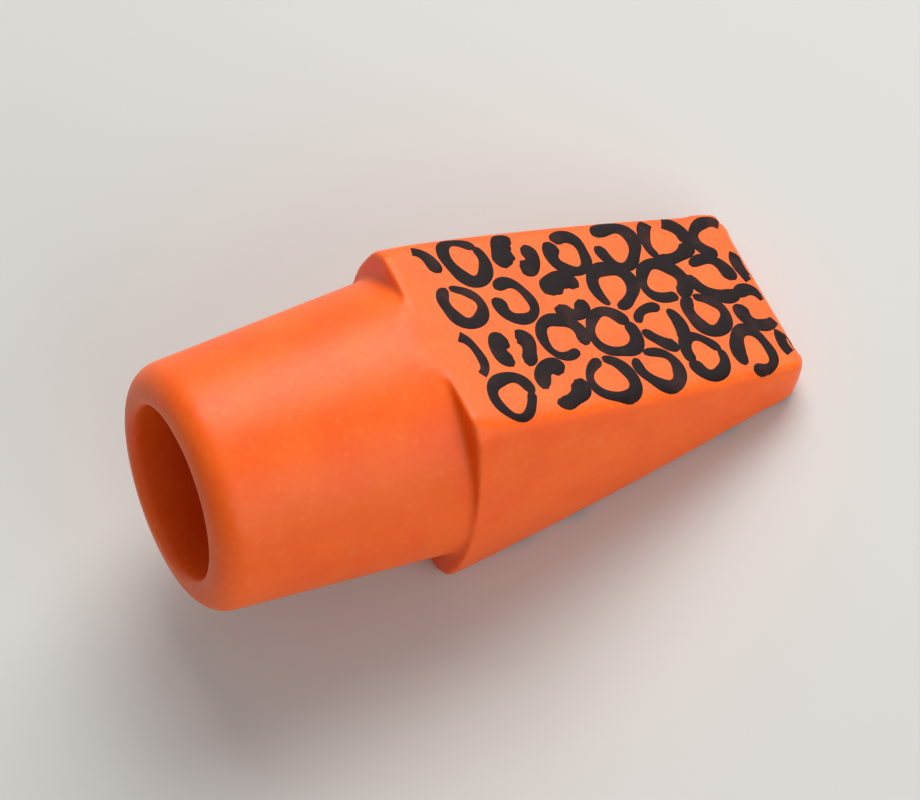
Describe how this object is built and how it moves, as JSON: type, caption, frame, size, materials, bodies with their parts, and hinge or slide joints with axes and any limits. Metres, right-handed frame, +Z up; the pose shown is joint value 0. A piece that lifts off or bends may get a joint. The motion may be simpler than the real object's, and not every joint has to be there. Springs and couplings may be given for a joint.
{
  "type": "pencil eraser topper",
  "caption": "Wedge-shaped soft rubber eraser cap with a round collar whose socket pushes onto the end of a pencil, with a leopard print on both broad faces",
  "frame": {"origin": "Centre of the bounding box's bottom, on the surface that the lower broad face lies on", "axes": "Z is up, X runs along the cap towards its tip, Y runs across its width; the mouth end is raised, since the cap lies on a broad face of its wedge"},
  "size_m": [0.0262, 0.0116, 0.0125],
  "materials": {
    "rubber": "matte moulded orange rubber",
    "ink": "satin dark brown pad-printed ink"
  },
  "bodies": {
    "root": {"eraser_cap": "rubber", "upper_print": "ink", "lower_print": "ink"}
  },
  "joints": []
}
